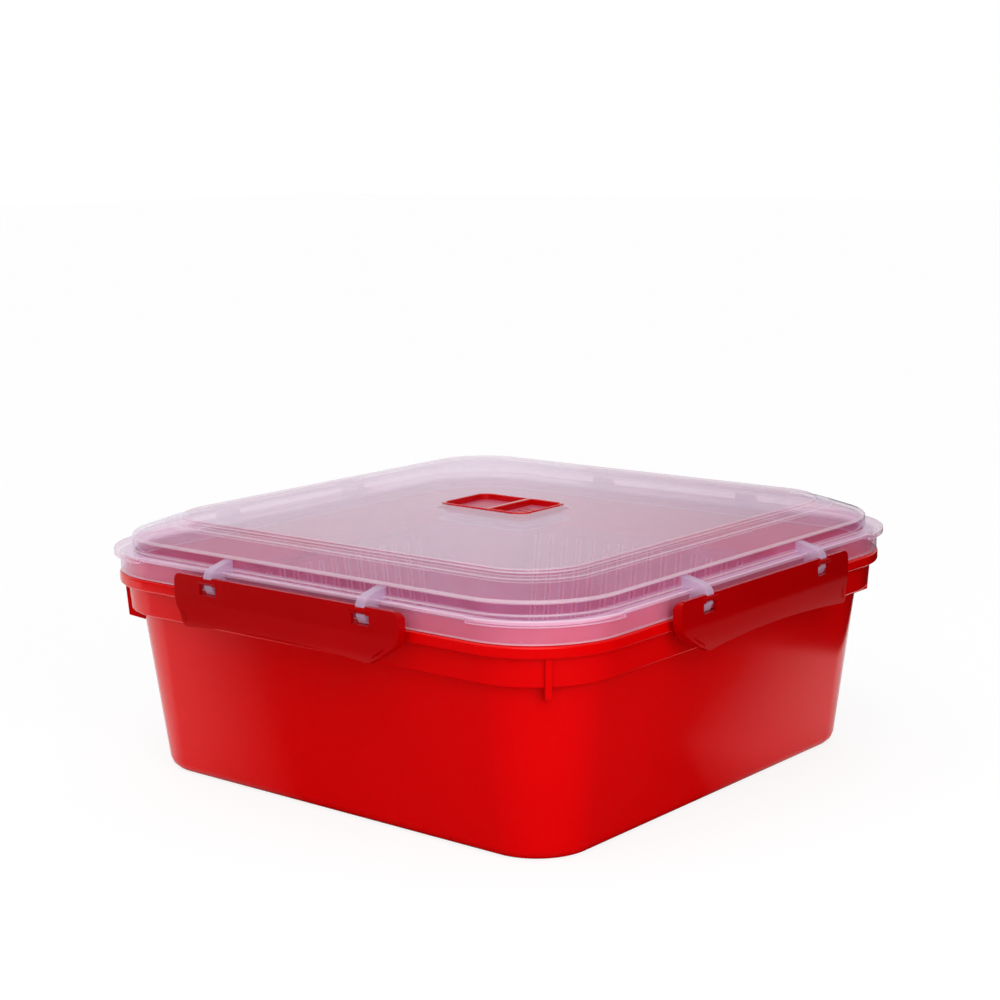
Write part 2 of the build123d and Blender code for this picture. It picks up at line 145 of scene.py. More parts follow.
def cut(mesh: bmesh.types.BMesh, axis: Vector, distance: float) -> None:
    """Cut new edges through the whole mesh, square to an axis, at a distance in millimetres."""
    everything = mesh.verts[:] + mesh.edges[:] + mesh.faces[:]
    point = axis * distance * MM
    bmesh.ops.bisect_plane(mesh, geom=everything, dist=1e-7, plane_co=point, plane_no=axis)


def add_box(
    mesh: bmesh.types.BMesh, low: Sequence[float], high: Sequence[float], edge: float
) -> None:
    """Add a box with rounded edges, in millimetres.

    Args:
        mesh: Mesh to add it to.
        low: Lowest corner.
        high: Highest corner.
        edge: Rounding of its edges.
    """
    size = [(top - bottom) * MM for bottom, top in zip(low, high)]
    middle = [(top + bottom) / 2 * MM for bottom, top in zip(low, high)]
    place = Matrix.Translation(middle) @ Matrix.Diagonal((*size, 1))
    corners = bmesh.ops.create_cube(mesh, size=1, matrix=place)["verts"]
    bevel(mesh, edges_at(corners), edge * MM)


def add_rod(
    mesh: bmesh.types.BMesh, middle: Sequence[float], radius: float, length: float,
    segments: int, tilt: float = 0.0,
) -> None:
    """Add a closed round rod, in millimetres.

    Args:
        mesh: Mesh to add it to.
        middle: Its middle.
        radius: Its radius.
        length: Its length.
        segments: Flats round it.
        tilt: Turn about the X axis in degrees, from upright.
    """
    place = Matrix.Translation([value * MM for value in middle])
    bmesh.ops.create_cone(
        mesh, cap_ends=True, segments=segments, radius1=radius * MM, radius2=radius * MM,
        depth=length * MM, matrix=place @ Matrix.Rotation(math.radians(tilt), 4, "X"),
    )


def add_plate(
    mesh: bmesh.types.BMesh, profile: Sequence[tuple[float, float]], start: float,
    thickness: float, turn: Matrix, edge: float, flattest: float = -1.0,
) -> None:
    """Add a plate drawn in side view, thickened along Y and then turned, in millimetres.

    Args:
        mesh: Mesh to add it to.
        profile: Outward distance and height of each corner.
        start: Where its first face stands along Y.
        thickness: Thickness of the plate.
        turn: Turn about the upright axis.
        edge: Rounding of its edges.
        flattest: Angle in degrees that an edge has to exceed to be rounded.
    """
    drawn = [mesh.verts.new((across * MM, start * MM, up * MM)) for across, up in profile]
    made = bmesh.ops.extrude_face_region(mesh, geom=[mesh.faces.new(drawn)])["geom"]
    moved = new_verts(made)
    bmesh.ops.translate(mesh, verts=moved, vec=(0, thickness * MM, 0))
    bmesh.ops.transform(mesh, matrix=turn, verts=drawn + moved)
    lines, limit = edges_at(drawn + moved), math.radians(flattest)
    bevel(mesh, [line for line in lines if line.calc_face_angle(0) > limit], edge * MM)


def add_object(name: str, data: bpy.types.ID) -> bpy.types.Object:
    """New object of the scene that holds some data."""
    made = bpy.data.objects.new(name, data)
    bpy.context.scene.collection.objects.link(made)
    return made


def finish_piece(
    mesh: bmesh.types.BMesh,
    name: str,
    body: str,
    slot: Slot,
    materials: Sequence[bpy.types.Material],
    node: str | None = None,
) -> None:
    """Turn a bmesh into a shown piece that rides on its body.

    Args:
        mesh: The modelled mesh, which is freed.
        name: Name of the piece.
        body: CAD body that carries it.
        slot: Material slot of the record; not used.
        materials: Finish of the piece, then those that its faces pick by index.
        node: CAD node that it stands for.
    """
    data = bpy.data.meshes.new(name)
    mesh.to_mesh(data)
    mesh.free()
    data.shade_smooth()
    data.set_sharp_from_angle(angle=SHARP_ANGLE)
    for material in materials:
        data.materials.append(material)
    piece = add_object(name, data)
    weighted = piece.modifiers.new("even_shading", "WEIGHTED_NORMAL")
    weighted.keep_sharp = True
    weighted.weight = 60
    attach(piece, body)
    if node:
        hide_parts(node)
    LOG.info("%s: %d faces on %s", name, len(data.polygons), body)


@dataclass(frozen=True)
class Outline:
    """A rounded rectangle at one height, and how much its edge is rounded, in metres."""

    half_x: float
    half_y: float
    radius: float
    height: float
    edge: float = 0.0
    centre_x: float = 0.0

    @staticmethod
    def square(half: float, radius: float, height: float, edge: float = 0.0) -> "Outline":
        """Rounded square, given in millimetres."""
        return Outline(half * MM, half * MM, radius * MM, height * MM, edge * MM)

    def place(self, old: "Outline", point: Vector) -> Vector:
        """Where a corner point of another outline lies on this one.

        Args:
            old: Outline that the point lies on.
            point: The point.

        Returns:
            The matching point of this outline.
        """
        sign_x = math.copysign(1, point.x - old.centre_x)
        sign_y = math.copysign(1, point.y)
        across = (point.x - old.centre_x) - sign_x * (old.half_x - old.radius)
        along = point.y - sign_y * (old.half_y - old.radius)
        scale = self.radius / old.radius
        x = self.centre_x + sign_x * (self.half_x - self.radius) + across * scale
        return Vector((x, sign_y * (self.half_y - self.radius) + along * scale, self.height))


class RingShell:
    """A moulded shell drawn as one rounded outline that is extruded from level to level."""

    def __init__(self, first: Outline, segments: int = CORNER_SEGMENTS) -> None:
        """Draw the first outline.

        Args:
            first: Outline that the shell starts from.
            segments: Straight pieces in each rounded corner.
        """
        self.mesh = bmesh.new()
        self.first = self.last = first
        self.rounded: list[tuple[float, list]] = []
        place = Matrix.Translation((first.centre_x, 0, first.height))
        grid = bmesh.ops.create_grid(self.mesh, x_segments=1, y_segments=1, size=1, matrix=place)
        for corner in grid["verts"]:
            corner.co.x = first.centre_x + (corner.co.x - first.centre_x) * first.half_x
            corner.co.y *= first.half_y
        bevel(self.mesh, grid["verts"], first.radius, segments, affect="VERTICES")
        self.face = self.mesh.faces[:][0]
        self.ring = list(self.face.edges)
        self._keep_edge(first)

    def _keep_edge(self, outline: Outline) -> None:
        """Remember the present ring for rounding, if its outline asks for that."""
        if outline.edge > 0:
            self.rounded.append((outline.edge, self.ring))

    def open_start(self) -> "RingShell":
        """Take away the face that closes the first outline."""
        bmesh.ops.delete(self.mesh, geom=[self.face], context="FACES_ONLY")
        return self

    def through(self, outlines: Iterable[Outline]) -> "RingShell":
        """Extrude the ring through outlines in turn.

        Args:
            outlines: Outlines to reach.

        Returns:
            This shell, so that calls can follow each other.
        """
        for outline in outlines:
            made = bmesh.ops.extrude_edge_only(self.mesh, edges=self.ring)["geom"]
            corners = set(new_verts(made))
            for corner in corners:
                corner.co = outline.place(self.last, corner.co)
            lines = [part for part in made if isinstance(part, bmesh.types.BMEdge)]
            self.ring = [line for line in lines if set(line.verts) <= corners]
            self.last = outline
            self._keep_edge(outline)
        return self

    def cap(self) -> "RingShell":
        """Close the last outline with one flat face."""
        bmesh.ops.contextual_create(self.mesh, geom=self.ring)
        return self

    def join_ends(self) -> "RingShell":
        """Carry the ring back to the first outline and merge the two."""
        self.through([self.first])
        bmesh.ops.remove_doubles(self.mesh, verts=self.mesh.verts[:], dist=0.002 * MM)
        return self

    def round_edges(self, segments: int = 3, finish: int = -1) -> "RingShell":
        """Round each remembered ring by its own amount.

        Args:
            segments: Strips in each rounding.
            finish: Material index of the roundings, or -1 for that of their neighbours.

        Returns:
            This shell.
        """
        for amount, edges in self.rounded:
            valid = [edge for edge in edges if edge.is_valid]
            bevel(self.mesh, valid, amount, segments, finish, clamp=True)
        return self


def linear(hex_colour: str) -> tuple[float, float, float, float]:
    """Linear colour of an sRGB hex value.

    Args:
        hex_colour: Colour such as "#C40C0C".

    Returns:
        Red, green, blue and full alpha.
    """
    channels = [int(hex_colour[i : i + 2], 16) / 255 for i in (1, 3, 5)]
    red, green, blue = (
        value / 12.92 if value <= 0.04045 else ((value + 0.055) / 1.055) ** 2.4
        for value in channels
    )
    return red, green, blue, 1.0


def add_node(
    tree: bpy.types.NodeTree, kind: str, values: dict, output: int | str = 0
) -> bpy.types.NodeSocket | None:
    """Add one shader node with its settings and links.

    Args:
        tree: Node tree to add it to.
        kind: Blender's name of the node type, without the leading ShaderNode.
        values: Values of its properties and input sockets; a socket here is linked.
        output: Output socket to give back.

    Returns:
        That output socket, or None from a node that has none.
    """
    node = tree.nodes.new("ShaderNode" + kind)
    for name, value in values.items():
        if isinstance(value, bpy.types.NodeSocket):
            tree.links.new(value, node.inputs[name])
        elif isinstance(name, str) and name not in node.inputs and hasattr(node, name):
            setattr(node, name, value)
        else:
            node.inputs[name].default_value = value
    return node.outputs[output] if node.outputs else None


def new_material(name: str) -> tuple[bpy.types.Material, bpy.types.NodeTree]:
    """Empty node material and its tree."""
    material = bpy.data.materials.new(name)
    material.use_nodes = True
    material.node_tree.nodes.clear()
    return material, material.node_tree


@dataclass(frozen=True)
class GlossRedPolypropylene:
    """Red polypropylene, injection moulded against a polished tool.

    The polished steel gives a gloss, while cooling leaves the broad walls very slightly
    uneven, so long soft reflections swim a little. Handling adds hairline scuffs.
    Lengths are in millimetres. The index starts from polypropylene's own 1.49.
    """

    name: str
    colour: str
    deep_colour: str
    roughness: float
    scuff_roughness: float
    ripple_length: float
    ripple_height: float
    sheen_tint: str = "#FFFFFF"
    gloss: float = 0.5
    index: float = 1.49
    scuff_length: float = 1.6

    def build(self) -> bpy.types.Material:
        """Make the material."""
        material, tree = new_material(self.name)
        coords = add_node(tree, "TexCoord", {}, "Object")
        waves = {"Scale": 1 / (self.ripple_length * MM), "Detail": 1.5, "Roughness": 0.4}
        ripple = add_node(tree, "TexNoise", waves | {"Vector": coords})
        # Scuffs are hairlines, so their noise is drawn out fourfold along one direction.
        drawn_out = {"Scale": (1.0, 1.0, 0.25), "Rotation": (0.5, 0.3, 0.9), "Vector": coords}
        stretch = add_node(tree, "Mapping", drawn_out)
        hairs = {"Scale": 1 / (self.scuff_length * MM), "Detail": 4.0, "Roughness": 0.7}
        scuff = add_node(tree, "TexNoise", hairs | {"Vector": stretch})
        rough = add_node(tree, "MapRange", {
            "From Min": 0.52, "From Max": 0.8, "To Min": self.roughness,
            "To Max": self.roughness + self.scuff_roughness, "Value": scuff,
        })
        tint = add_node(tree, "Mix", {
            "data_type": "RGBA", 0: ripple, 6: linear(self.colour), 7: linear(self.deep_colour),
        }, 2)
        bump = add_node(tree, "Bump", {
            "Strength": 1.0, "Distance": self.ripple_height * MM, "Height": ripple,
        })
        surface = add_node(tree, "BsdfPrincipled", {
            "Base Color": tint, "Roughness": rough, "Normal": bump, "IOR": self.index,
            "Specular IOR Level": self.gloss, "Specular Tint": linear(self.sheen_tint),
        })
        add_node(tree, "OutputMaterial", {"Surface": surface})
        return material


@dataclass(frozen=True)
class NaturalPolypropylene:
    """Uncoloured polypropylene, injection moulded about 1.5 mm thick.

    Both polished skins mirror the bright surroundings, the more so the flatter they are seen.
    The clarified resin between them is a little cloudy, and so the red within shows through
    paled. The milk is coloured pink to violet, the pink partly painted red light from the red
    parts behind it. Lengths are in millimetres.
    """

    name: str
    # Pink to violet milk colour, the pink partly painted red light from the red parts behind.
    colour: str = "#F9ACE4"
    clear_colour: str = "#FFFBFC"
    gloss_tint: str = "#F4F8FF"
    milkiness: float = 0.155
    edge_milkiness: float = 0.02
    glow_share: float = 0.40
    roughness: float = 0.12
    index: float = 1.49
    haze_length: float = 14.0
    haze_share: float = 0.03
    ripple_height: float = 0.05

    def build(self) -> bpy.types.Material:
        """Make the material."""
        material, tree = new_material(self.name)
        coords = add_node(tree, "TexCoord", {}, "Object")
        clouds = {"Scale": 1 / (self.haze_length * MM), "Detail": 3.0, "Roughness": 0.55}
        haze = add_node(tree, "TexNoise", clouds | {"Vector": coords})
        cloud = add_node(tree, "MapRange", {
            "From Min": 0.3, "From Max": 0.7, "To Min": self.milkiness - self.haze_share,
            "To Max": self.milkiness + self.haze_share, "Value": haze,
        })
        bump = add_node(tree, "Bump", {
            "Strength": 1.0, "Distance": self.ripple_height * MM, "Height": haze,
        })
        facing = add_node(tree, "LayerWeight", {"Blend": 0.25}, "Facing")
        milk = add_node(tree, "Math", {
            "operation": "MULTIPLY_ADD", "use_clamp": True,
            0: facing, 1: self.edge_milkiness, 2: cloud,
        })
        clear = add_node(tree, "BsdfTransparent", {"Color": linear(self.clear_colour)})
        cloudy = {"Color": linear(self.colour), "Normal": bump}
        scatter = add_node(tree, "BsdfDiffuse", cloudy)
        glow = add_node(tree, "BsdfTranslucent", cloudy)
        milky = add_node(tree, "MixShader", {0: self.glow_share, 1: scatter, 2: glow})
        body = add_node(tree, "MixShader", {0: milk, 1: clear, 2: milky})
        gloss = add_node(tree, "BsdfGlossy", {
            "Color": linear(self.gloss_tint), "Roughness": self.roughness, "Normal": bump,
        })
        # Seen from inside the wall the index turns over, as light leaves plastic for air.
        inside = add_node(tree, "NewGeometry", {}, "Backfacing")
        index = add_node(tree, "Math", {
            "operation": "MULTIPLY_ADD",
            0: inside, 1: 1 / self.index - self.index, 2: self.index,
        })
        mirror = add_node(tree, "Fresnel", {"IOR": index, "Normal": bump})
        plastic = add_node(tree, "MixShader", {0: mirror, 1: body, 2: gloss})
        add_node(tree, "OutputMaterial", {"Surface": plastic})
        return material


@dataclass(frozen=True)
class FoodSilicone:
    """Pale food-grade silicone, compression moulded with a fine matt skin."""

    name: str
    colour: str = "#D9D2D6"
    roughness: float = 0.55
    index: float = 1.41
    grain_length: float = 0.8
    grain_height: float = 0.02
    depth: float = 1.2

    def build(self) -> bpy.types.Material:
        """Make the material."""
        material, tree = new_material(self.name)
        coords = add_node(tree, "TexCoord", {}, "Object")
        grain = add_node(tree, "TexNoise", {
            "Scale": 1 / (self.grain_length * MM), "Detail": 2.0, "Vector": coords,
        })
        bump = add_node(tree, "Bump", {
            "Strength": 0.6, "Distance": self.grain_height * MM, "Height": grain,
        })
        surface = add_node(tree, "BsdfPrincipled", {
            "Base Color": linear(self.colour), "Roughness": self.roughness, "Normal": bump,
            "IOR": self.index, "Subsurface Weight": 0.3, "Subsurface Radius": (1.0, 0.9, 0.9),
            "Subsurface Scale": self.depth * MM,
        })
        add_node(tree, "OutputMaterial", {"Surface": surface})
        return material


@dataclass
class Finishes:
    """The finishes that the container's pieces share.

    All the reds are one plastic and all the clear parts another. They differ where the
    photograph does: the tub's tinted mirror images are stronger than the index of plain
    polypropylene gives, and thick or edge-on parts of the lid look milkier. The latches' darker
    red is painted shade. The milkier edge finish is partly a painted highlight along the
    roundings, and the pink of the clear parts' milk is partly painted red light from the red
    behind them.
    """

    tub_red: bpy.types.Material = field(default_factory=GlossRedPolypropylene(
        "tub_red_polypropylene", "#D00002", "#C60002", 0.14, 0.12, 46.0, 0.10,
        sheen_tint="#FF5C5C", gloss=1.0, index=1.78,
    ).build)
    # Darker than the tub's red: painted shade on the latches, which are the same plastic as the
    # tub.
    shaded_clip_red: bpy.types.Material = field(default_factory=GlossRedPolypropylene(
        "clip_red_polypropylene", "#9C0002", "#940002", 0.2, 0.05, 24.0, 0.03,
        sheen_tint="#FF6060",
    ).build)
    vent_red: bpy.types.Material = field(default_factory=GlossRedPolypropylene(
        "vent_red_polypropylene", "#BE0002", "#B40002", 0.12, 0.04, 12.0, 0.02,
    ).build)
    vent_floor: bpy.types.Material = field(default_factory=GlossRedPolypropylene(
        "vent_floor_polypropylene", "#B85068", "#B04A62", 0.38, 0.04, 12.0, 0.01,
    ).build)
    lid_clear: bpy.types.Material = field(
        default_factory=NaturalPolypropylene("lid_natural_polypropylene").build
    )
    # Milkier edge finish: the longer path of light through a rounded edge, and partly a painted
    # highlight that draws bright lines along the roundings and slot sides.
    edge_milk_and_highlight: bpy.types.Material = field(default_factory=NaturalPolypropylene(
        "edge_milk_and_highlight_polypropylene", colour="#F6E2EE", milkiness=0.52
    ).build)
    # Pinker milk than the lid's: partly painted red light from the tub's red rim behind the skirt.
    skirt_clear: bpy.types.Material = field(default_factory=NaturalPolypropylene(
        "skirt_natural_polypropylene", colour="#F6ACCE", milkiness=0.32
    ).build)
    lug_clear: bpy.types.Material = field(default_factory=NaturalPolypropylene(
        "thick_natural_polypropylene", colour="#DCC6E2", milkiness=0.45
    ).build)
    basket_clear: bpy.types.Material = field(default_factory=NaturalPolypropylene(
        "basket_natural_polypropylene", milkiness=0.12
    ).build)
    seal: bpy.types.Material = field(default_factory=FoodSilicone("seal_silicone").build)


@dataclass
class Tub:
    """Red tub: leaning walls, stepped band, flange, sealing rim and corner gussets."""

    foot: Size = (106.0, 23.5)
    top: Size = (115.0, 32.5)
    band: Size = (118.8, 34.0)
    band_top: Size = (119.5, 34.0)
    band_bottom: float = 67.9
    flange: Size = (122.8, 37.5)
    flange_bottom: float = 79.1
    flange_top: float = 83.7
    rim: Size = (119.1, 34.0)
    rim_top: float = 90.2
    wall: float = 1.8
    rim_wall: float = 2.0
    floor: float = 2.0
    ledge: float = 69.8
    gusset_thickness: float = 2.5
    gusset_bottom: float = 61.6
    gusset_lean: float = 1.2
    gusset_toe: float = 2.6
    gusset_inset: float = 1.8
    gusset_sink: float = 0.5
    gusset_root: float = 0.9
    gusset_round: float = 0.35

    def leaning(self, height: float, inside: float = 0.0, edge: float = 0.0) -> Outline:
        """Outline of the leaning wall at a height, or of a face inside it.

        Args:
            height: Height in millimetres.
            inside: Distance inside the outer face.
            edge: Rounding there.

        Returns:
            The outline.
        """
        share = height / self.band_bottom
        size = (low + (high - low) * share - inside for low, high in zip(self.foot, self.top))
        return Outline.square(*size, height, edge)

    def outlines(self) -> list[Outline]:
        """Outlines from the underside up the outside and down the inside to the floor.

        Returns:
            The outlines. Rows give half width, corner radius, height and rounding.
        """
        rows = (
            (*self.top, self.band_bottom, 0.4),
            (*self.band, self.band_bottom, 0.9),
            (*self.band_top, self.flange_bottom, 0.5),
            (*self.flange, self.flange_bottom, 1.0),
            (*self.flange, self.flange_top, 1.0),
            (*self.rim, self.flange_top, 0.4),
            (*self.rim, self.rim_top, 0.6),
            (*inset(self.rim, self.rim_wall), self.rim_top, 0.6),
            (self.band[0] - self.wall, self.band[1] - self.rim_wall, self.ledge, 0.4),
        )
        return [
            self.leaning(0.0, edge=4.2),
            *(Outline.square(*row) for row in rows),
            self.leaning(self.ledge, self.wall, 0.6),
            self.leaning(self.floor, self.wall, 4.0),
        ]

    def reach(self, half: float, radius: float) -> float:
        """Distance from the axis to the corner of a rounded square, in millimetres."""
        return (half - radius) * math.sqrt(2) + radius

    def gussets(self) -> bmesh.types.BMesh:
        """Rounded rib plates that stand under the flange, one at each corner.

        Returns:
            Their mesh.
        """
        mesh = bmesh.new()
        outer = self.reach(*self.flange) - self.gusset_inset
        band = self.reach(*self.band_top) - self.wall / 2
        body = self.reach(*self.top) - self.wall / 2
        low = self.leaning(self.gusset_bottom)
        toe = self.reach(low.half_x / MM, low.radius / MM) - self.wall / 2
        profile = [
            (band, self.flange_bottom + self.gusset_sink),
            (outer, self.flange_bottom + self.gusset_sink),
            (outer - self.gusset_lean, self.gusset_bottom + self.gusset_toe),
            (toe, self.gusset_bottom),
            (body, self.band_bottom + self.gusset_root),
            (band, self.band_bottom + self.gusset_root),
        ]
        for side in Side:
            turn = Matrix.Rotation(math.radians(45 + side.value), 4, "Z")
            add_plate(
                mesh, profile, -self.gusset_thickness / 2, self.gusset_thickness, turn,
                self.gusset_round,
            )
        face_out(mesh)
        return mesh

    def build(self, finishes: Finishes) -> None:
        """Model and dress the tub and its gussets.

        Args:
            finishes: The shared finishes.
        """
        first, *rest = self.outlines()
        shell = RingShell(first).through(rest).cap().round_edges()
        face_out(shell.mesh)
        look = (Body.TUB.value, Slot.RED_BODY, [finishes.tub_red])
        finish_piece(shell.mesh, "tub_moulding", *look, "tub")
        finish_piece(self.gussets(), "tub_corner_gussets", *look)


@dataclass
class Lid:
    """Translucent lid shell with its flange, skirt, gasket channel, vent well and lugs."""

    top: float = 105.6
    wall: float = 1.5
    plateau: Size = (100.2, 24.0)
    plateau_margin: float = 2.0
    ceiling_margin: float = 4.0
    step_draft: float = 1.0
    step_level: float = 104.2
    ledge: Size = (105.9, 27.0)
    ledge_level: float = 103.2
    ledge_inset: float = 0.75
    shoulder: Size = (119.0, 38.0)
    shoulder_level: float = 98.5
    inner_shoulder_level: float = 97.4
    inner_ledge_level: float = 101.9
    flange_top: float = 93.2
    channel_top: float = 91.7
    lip: Size = (125.0, 40.0)
    lip_level: float = 90.8
    lip_start: float = 85.0
    lip_jog: float = 0.35
    side_inset: float = 1.2
    side_rise: float = 0.9
    skirt: Size = (122.4, 37.3)
    skirt_inner: Size = (120.8, 35.7)
    skirt_bottom: float = 83.9
    tongue: Size = (116.5, 31.4)
    tongue_wall: float = 1.3
    tongue_bottom: float = 87.1
    well_half_x: float = 22.9
    well_half_y: float = 15.2
    well_radius: float = 4.6
    well_floor: float = 100.4
    well_bottom: float = 98.9
    well_wall: float = 2.0
    well_margin: float = 1.5
    steam_hole_x: float = -9.9
    steam_hole_radius: float = 3.0
    lug_offset: float = 39.8
    lug_thickness: float = 4.4
    lug_round: float = 0.3
    lug_root: tuple[float, float] = (118.0, 97.2)
    lug_shelf: tuple[float, float] = (121.6, 92.2)
    lug_jaw: tuple[float, float] = (128.2, 84.95)
    lug_lip_radius: float = 2.4
    nose_middle: tuple[float, float] = (124.2, 91.2)
    nose_reach: tuple[float, float] = (5.72, 4.39)
    hinge: tuple[float, float] = (128.8, 90.1)
    hinge_bore: float = 1.48

    def well(self, height: float, grow: float = 0.0, edge: float = 0.0) -> Outline:
        """Outline of the vent well at a height, or of one that much wider, in millimetres."""
        sizes = (self.well_half_x + grow, self.well_half_y + grow, self.well_radius + grow)
        return Outline(*(size * MM for size in (*sizes, height, edge)))

    def steam_hole(self, height: float) -> Outline:
        """Outline of the round steam hole at a height in millimetres.

        Args:
            height: The height.

        Returns:
            The outline.
        """
        radius = self.steam_hole_radius * MM
        half = radius + 0.001 * MM
        return Outline(half, half, radius, height * MM, 0.2 * MM, self.steam_hole_x * MM)

    def outlines(self) -> list[Outline]:
        """Outlines from the well's mouth outwards, round the skirt and back to the well floor.

        Returns:
            The outlines. Rows give half width, corner radius, height and rounding.
        """
        step, ceiling = inset(self.plateau, -self.step_draft), self.top - self.wall
        tongue_inner = inset(self.tongue, self.tongue_wall)
        shoulder_inner = inset(self.shoulder, self.wall)
        rows = (
            (*inset(self.plateau, self.plateau_margin), self.top),
            (*self.plateau, self.top, 0.6),
            (*step, self.step_level, 0.4),
            (*self.ledge, self.ledge_level, 0.5),
            (*self.shoulder, self.shoulder_level, 0.75),
            (*self.shoulder, self.flange_top, 0.5),
            (*self.lip, self.flange_top, 0.45),
            (*self.lip, self.lip_level, 0.3),
            (*self.skirt, self.lip_level, 0.25),
            (*self.skirt, self.skirt_bottom, 0.5),
            (*self.skirt_inner, self.skirt_bottom, 0.4),
            (*self.skirt_inner, self.channel_top),
            (*self.tongue, self.channel_top),
            (*self.tongue, self.tongue_bottom, 0.35),
            (*tongue_inner, self.tongue_bottom, 0.35),
            (*tongue_inner, self.flange_top, 0.3),
            (*shoulder_inner, self.flange_top, 0.4),
            (*shoulder_inner, self.inner_shoulder_level, 0.5),
            (*inset(self.ledge, self.ledge_inset), self.inner_ledge_level, 0.4),
            (*inset(step, self.wall), self.step_level - self.wall, 0.3),
            (*inset(self.plateau, self.wall), ceiling, 0.4),
            (*inset(self.plateau, self.ceiling_margin), ceiling),
        )
        return [
            self.well(self.top, edge=0.35),
            self.well(self.top, self.well_margin),
            *(Outline.square(*row) for row in rows),
            self.well(ceiling, self.well_wall + self.well_margin),
            self.well(ceiling, self.well_wall, 0.4),
            self.well(self.well_bottom, self.well_wall, 0.6),
            self.steam_hole(self.well_bottom),
            self.steam_hole(self.well_floor),
            self.well(self.well_floor, edge=0.5),
        ]

    def relieve_sides(self, mesh: bmesh.types.BMesh) -> None:
        """Set the flange back along each side, so that its lip stands proud at the corners.

        Args:
            mesh: The lid shell.
        """
        for axis in (X, Y):
            for sign in (-1, 1):
                for jog in (0.0, self.lip_jog):
                    cut(mesh, axis, sign * (self.lip_start - jog))
        near = 0.5 * MM
        inside = (self.lip_start - self.lip_jog + 0.05) * MM
        for vert in mesh.verts:
            across, along = sorted((abs(vert.co.x), abs(vert.co.y)), reverse=True)
            if along > inside or across < self.skirt[0] * MM - near:
                continue
            if abs(vert.co.z - self.lip_level * MM) < near:
                vert.co.z += self.side_rise * MM
            if across > (self.skirt[0] + 0.6) * MM:
                side = 0 if abs(vert.co.x) > abs(vert.co.y) else 1
                vert.co[side] -= math.copysign(self.side_inset * MM, vert.co[side])

    def _is_skirt(self, face: bmesh.types.BMFace) -> bool:
        """Whether a face looks outwards from the skirt or from the lip above it.

        Args:
            face: Face of the lid shell.

        Returns:
            True where it takes the finish of the skirt.
        """
        middle = face.calc_center_median()
        outward = face.normal.x * middle.x + face.normal.y * middle.y > 0
        return middle.z < self.flange_top * MM and outward

    def lug_profile(self) -> list[tuple[float, float]]:
        """Side view of one lug: its nose, the bore that holds the latch bar, and its root.

        Returns:
            Outward distance and height of each corner, in millimetres.
        """
        hinge_x, hinge_z = self.hinge
        (nose_x, nose_z), (reach, rise) = self.nose_middle, self.nose_reach
        bore, lip, mouth = self.hinge_bore, self.lug_lip_radius, math.radians(290)
        root, (shelf_x, shelf_z), (jaw_x, jaw_z) = self.lug_root, self.lug_shelf, self.lug_jaw
        nose_turns = [math.radians(angle) for angle in range(73, 2, -10)]
        bore_turns = [math.radians(angle) for angle in range(48, 291, 22)]
        return [
            *((nose_x + reach * math.cos(a), nose_z + rise * math.sin(a)) for a in nose_turns),
            *((hinge_x + bore * math.cos(a), hinge_z + bore * math.sin(a)) for a in bore_turns),
            (hinge_x + lip * math.cos(mouth), hinge_z + lip * math.sin(mouth)),
            (jaw_x, jaw_z),
            (shelf_x, jaw_z),
            (shelf_x, shelf_z),
            (root[0], shelf_z),
            root,
        ]

    def lugs(self) -> bmesh.types.BMesh:
        """The eight hooks that hold the latch bars.

        Returns:
            Their mesh.
        """
        mesh = bmesh.new()
        for side in Side:
            for offset in (-self.lug_offset, self.lug_offset):
                add_plate(
                    mesh, self.lug_profile(), offset - self.lug_thickness / 2,
                    self.lug_thickness, side.turn, self.lug_round, flattest=35,
                )
        face_out(mesh)
        return mesh

    def build(self, finishes: Finishes) -> None:
        """Model and dress the lid shell, with finishes for its edges and skirt, and the lugs.

        Args:
            finishes: The shared finishes.
        """
        first, *rest = self.outlines()
        # The roundings take the milky edge finish (index 1), partly a painted highlight along them.
        shell = RingShell(first).open_start().through(rest).join_ends().round_edges(finish=1)
        self.relieve_sides(shell.mesh)
        face_out(shell.mesh)
        # Outer skirt faces take the skirt finish, whose pink is partly painted red light from the
        # rim behind.
        for face in shell.mesh.faces:
            if face.material_index == 0 and self._is_skirt(face):
                face.material_index = 2
        looks = [finishes.lid_clear, finishes.edge_milk_and_highlight, finishes.skirt_clear]
        body, slot = Body.LID.value, Slot.CLEAR
        finish_piece(shell.mesh, "lid_shell", body, slot, looks, "lid")
        finish_piece(self.lugs(), "lid_latch_lugs", body, slot, [finishes.lug_clear])


@dataclass
class Gasket:
    """Silicone sealing ring seated in the lid's channel."""

    outer: Size = (120.65, 35.55)
    inner: Size = (116.65, 31.55)
    bottom: float = 90.5
    top: float = 91.65
    bottom_round: float = 0.3
    top_round: float = 0.15

    def build(self, finishes: Finishes) -> None:
        """Model and dress the gasket.

        Args:
            finishes: The shared finishes.
        """
        low, high = (self.bottom, self.bottom_round), (self.top, self.top_round)
        rows = ((self.outer, low), (self.outer, high), (self.inner, high), (self.inner, low))
        first, *rest = (Outline.square(*size, *level) for size, level in rows)
        shell = RingShell(first).open_start().through(rest).join_ends().round_edges()
        face_out(shell.mesh)
        body, look = Body.LID.value, [finishes.seal]
        finish_piece(shell.mesh, "gasket_ring", body, Slot.SEAL, look, "gasket")


